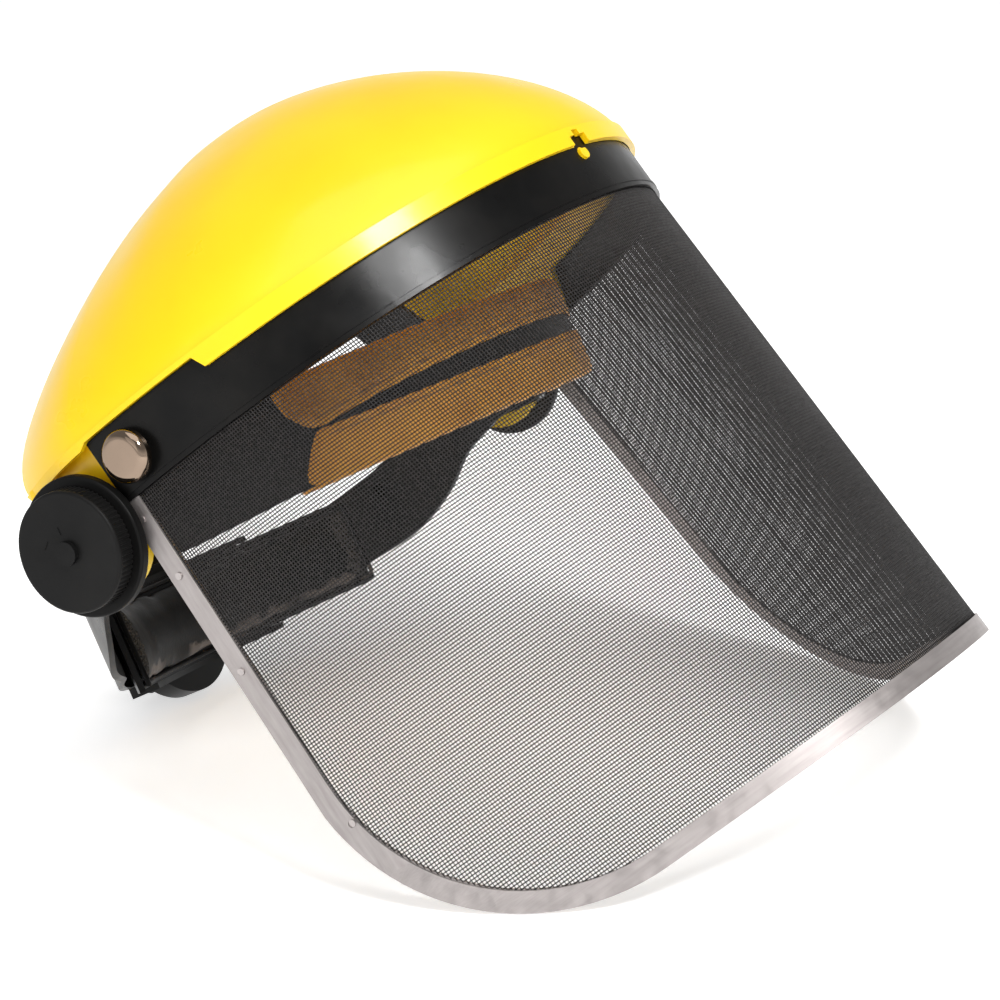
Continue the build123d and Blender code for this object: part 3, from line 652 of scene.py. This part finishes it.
def inflate(mesh, pinned, voxel=0.0026, pressure=4.0, cap=0.0022, frames=20):
    """Fill a cushion by cloth simulation; its pinned back stays where it is."""
    obj = bpy.data.objects.new("blank", mesh)
    scene.collection.objects.link(obj)
    remesh = obj.modifiers.new("remesh", "REMESH")
    remesh.mode = "VOXEL"
    remesh.voxel_size = voxel
    even = evaluated(obj)
    obj.modifiers.clear()
    obj.data = even
    start = [v.co.copy() for v in even.vertices]
    held = obj.vertex_groups.new(name="held")
    held.add([i for i, p in enumerate(start) if pinned(p)], 1.0, "REPLACE")
    cloth = obj.modifiers.new("cloth", "CLOTH")
    cloth.settings.quality = 6
    cloth.settings.mass = 0.25
    cloth.settings.tension_stiffness = 12
    cloth.settings.compression_stiffness = 12
    cloth.settings.bending_stiffness = 0.4
    cloth.settings.use_pressure = True
    cloth.settings.uniform_pressure_force = pressure
    cloth.settings.effector_weights.gravity = 0
    cloth.settings.vertex_group_mass = "held"
    for step in range(1, frames + 1):
        scene.frame_set(step)
    filled = evaluated(obj)
    obj.modifiers.clear()
    scene.frame_set(1)
    for v, before in zip(filled.vertices, start):
        move = v.co - before
        if move.length > cap:
            v.co = before + move * (cap / move.length)
    bpy.data.objects.remove(obj)
    bm = bmesh.new()
    bm.from_mesh(filled)
    every_axis = {"use_axis_x": True, "use_axis_y": True, "use_axis_z": True}
    for _ in range(8):
        bmesh.ops.smooth_vert(bm, verts=bm.verts, factor=0.5, **every_axis)
    bm.to_mesh(filled)
    bm.free()
    return filled


def nape_pad():
    """The filled pad, with the foam bare at its two cut ends."""
    mesh = nape_blank()
    upright = GEAR.inverted()
    mesh = inflate(mesh, lambda p: nape_inset(upright @ p) < PAD_BACK + 0.0012)
    mesh.name = "nape_cushion"
    end_angle = NAPE_REACH - 0.075
    mesh.materials.clear()
    mesh.materials.append(looks["pad_black"])
    mesh.materials.append(foam_look)
    for face in mesh.polygons:
        p = upright @ face.center
        turned = abs(math.atan2(p.x / NAPE_A, (p.y - NAPE_Y) / NAPE_B))
        ragged = 0.02 * noise.noise(Vector((p.z * 300, p.x * 40, 1.0)))
        face.material_index = 1 if turned > end_angle + ragged else 0
    smooth(mesh)
    return mesh


cushion = bpy.data.objects.new("nape_cushion", nape_pad())
scene.collection.objects.link(cushion)
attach(cushion, "headgear")
cushion.modifiers.new("round", "SUBSURF").render_levels = 1
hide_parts("nape_pad")


def welt():
    """Piped seam that runs round the pad where its face meets its back."""
    corners = []
    top, low = NAPE_HIGH - 0.0010, NAPE_LOW + 0.0010
    inset = PAD_BACK + 0.0012
    for i in range(61):
        corners.append(nape_point(NAPE_REACH * (-1 + i / 30) * 0.995, inset, low))
    for i in range(1, 12):
        corners.append(nape_point(NAPE_REACH * 1.004, inset, low + (top - low) * i / 12))
    for i in range(61):
        corners.append(nape_point(NAPE_REACH * (1 - i / 30) * 0.995, inset, top))
    for i in range(1, 12):
        corners.append(nape_point(-NAPE_REACH * 1.004, inset, top + (low - top) * i / 12))
    verts, faces, sides, count = [], [], 8, len(corners)
    for n, p in enumerate(corners):
        run = (corners[(n + 1) % count] - corners[n - 1]).normalized()
        out = Vector((p.x, p.y - NAPE_Y, 0)).normalized()
        side = run.cross(out).normalized()
        for j in range(sides):
            turn = 2 * math.pi * j / sides
            verts.append(p + WELT_R * (math.cos(turn) * run.cross(side) + math.sin(turn) * side))
    for n in range(count):
        for j in range(sides):
            k, m = (j + 1) % sides, (n + 1) % count
            faces.append((n * sides + j, n * sides + k, m * sides + k, m * sides + j))
    mesh = bpy.data.meshes.new("nape_piping")
    mesh.from_pydata([GEAR @ v for v in verts], [], faces)
    mesh.update()
    smooth(mesh)
    return mesh


piece("nape_piping", welt(), "headgear", "pad_black")

# ------------------------------------------------------------ floor, lights and camera
floor_mesh = bpy.data.meshes.new("floor")
FLOOR, BELOW = 6, -0.0005
floor_mesh.from_pydata([(x * FLOOR, y * FLOOR, BELOW) for x, y in ((-1, -1), (1, -1), (1, 1), (-1, 1))],
                       [], [(0, 1, 2, 3)])
floor = bpy.data.objects.new("floor", floor_mesh)
scene.collection.objects.link(floor)
paper = material("paper_white", (0.90, 0.90, 0.90), 0.9, spec=0.1)
vary_color(paper, (0.89, 0.89, 0.89), (0.91, 0.91, 0.91), 3.0)
glow = paper.node_tree.nodes["Principled BSDF"].inputs
glow["Emission Color"].default_value = (1, 1, 1, 1)
glow["Emission Strength"].default_value = 0.57
floor_mesh.materials.append(paper)

# the studio wall is white along the horizon and grey overhead
world = bpy.data.worlds.new("studio")
world.use_nodes = True
sky = world.node_tree
background = sky.nodes["Background"]
direction = sky.nodes.new("ShaderNodeTexCoord")
height = sky.nodes.new("ShaderNodeSeparateXYZ")
fade = sky.nodes.new("ShaderNodeMapRange")
fade.inputs["From Min"].default_value = 0.10
fade.inputs["From Max"].default_value = 0.40
fade.inputs["To Min"].default_value = 1.02
fade.inputs["To Max"].default_value = 0.38
sky.links.new(direction.outputs["Generated"], height.inputs["Vector"])
sky.links.new(height.outputs["Z"], fade.inputs["Value"])
sky.links.new(fade.outputs["Result"], background.inputs["Strength"])
background.inputs["Color"].default_value = (1, 1, 1, 1)
scene.world = world


AIM = Vector((0, 0, 0.12))


def softbox(name, place, width, height, power):
    """A rectangular lamp aimed at the object."""
    light = bpy.data.lights.new(name, "AREA")
    light.shape = "RECTANGLE"
    light.size, light.size_y = width, height
    light.energy = power
    obj = bpy.data.objects.new(name, light)
    obj.location = place
    obj.rotation_euler = (AIM - Vector(place)).to_track_quat("-Z", "Y").to_euler()
    scene.collection.objects.link(obj)


softbox("overhead", (-0.5, -0.3, 2.2), 2.0, 2.0, 22)
softbox("key", (-0.77, -1.08, 1.5), 0.42, 0.32, 26)
softbox("fill", (-1.9, 0.2, 0.9), 1.2, 1.2, 3)

lens = bpy.data.cameras.new("camera")
lens.lens = 104.09
lens.sensor_width = 36
lens.clip_start, lens.clip_end = 0.01, 50
camera = bpy.data.objects.new("camera", lens)
scene.collection.objects.link(camera)
right = VISOR.to_3x3() @ Vector((0.47696, -0.66724, -0.57210))
up = VISOR.to_3x3() @ Vector((0.22869, -0.53428, 0.81378))
back = VISOR.to_3x3() @ Vector((-0.84865, -0.51898, -0.10224))
turn = Matrix((right, up, back)).transposed().to_4x4()
camera.matrix_world = Matrix.Translation(VISOR @ Vector((-0.787362, -0.527802, -0.145071))) @ turn
scene.camera = camera
scene.view_settings.view_transform = "Standard"
